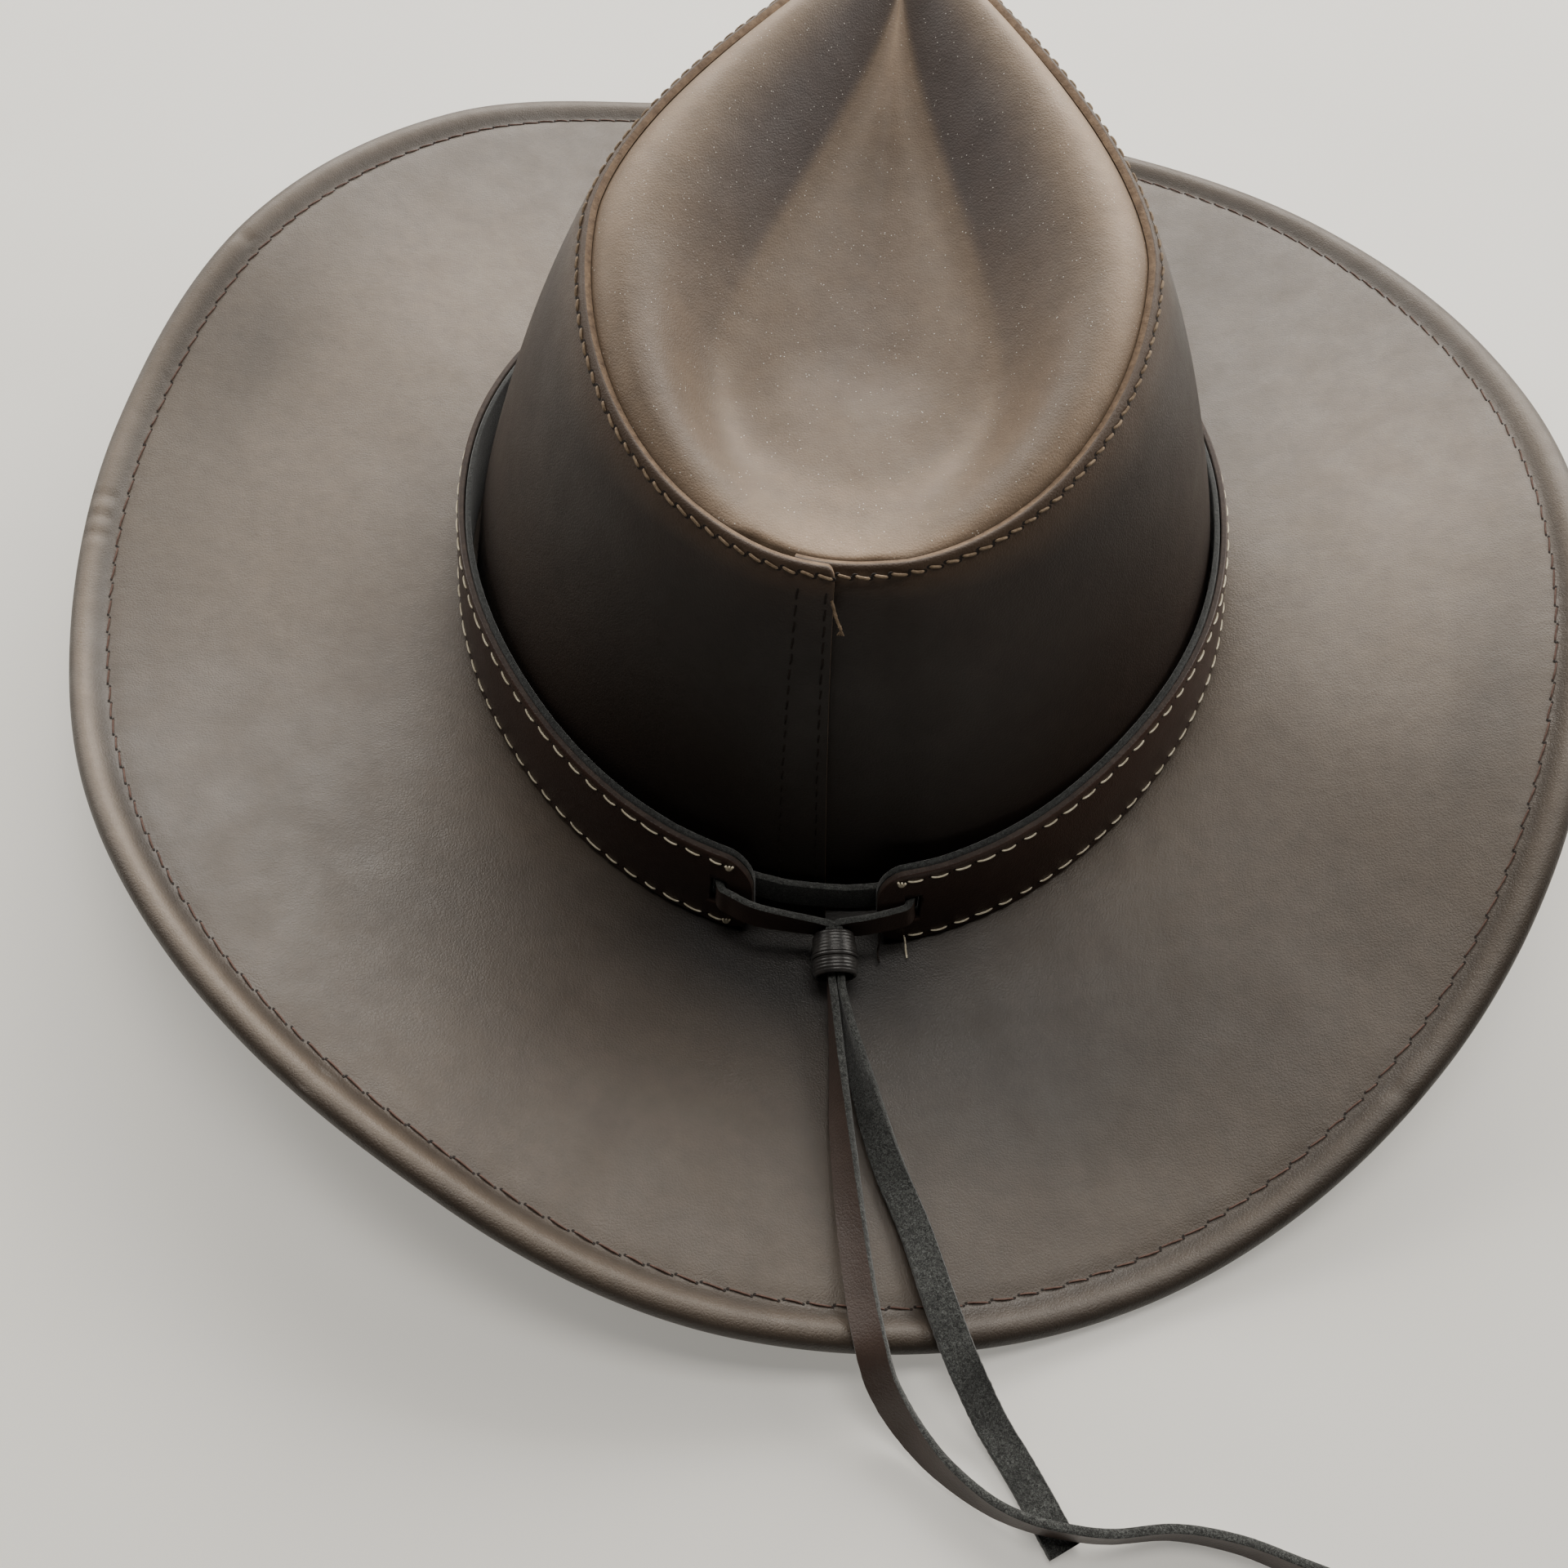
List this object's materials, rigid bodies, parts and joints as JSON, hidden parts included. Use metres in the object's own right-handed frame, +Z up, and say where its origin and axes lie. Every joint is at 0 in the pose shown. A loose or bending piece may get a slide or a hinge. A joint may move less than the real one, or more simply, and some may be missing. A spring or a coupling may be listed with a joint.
{
  "type": "leather cowboy hat",
  "caption": "Leather cowboy hat with a sunken teardrop crown, a curled brim with a stitched hem, and a hat band drawn together behind by a flat lace with a slide bead.",
  "frame": {"origin": "under the centre of the brim's outline, on the surface that the hat stands on", "axes": "+X the wearer's right, +Y the front of the hat, +Z up"},
  "size_m": [0.3392, 0.4002, 0.1177],
  "materials": {
    "brim_leather": "waxed, slightly worn",
    "crown_leather": "waxed, slightly worn",
    "tip_leather": "waxed, slightly worn",
    "band_leather": "smooth",
    "band_suede": "suede",
    "lace_leather": "smooth on one side, suede on the other",
    "bead": "dark, turned, satin"
  },
  "bodies": {
    "root": {"brim": "brim_leather", "crown_side": "crown_leather", "crown_tip": "tip_leather", "band_face": "band_leather", "band_lining": "band_suede", "lace_loop": "lace_leather", "slide_bead": "bead", "lace_tail_left": "lace_leather", "lace_tail_right": "lace_leather"}
  },
  "joints": []
}
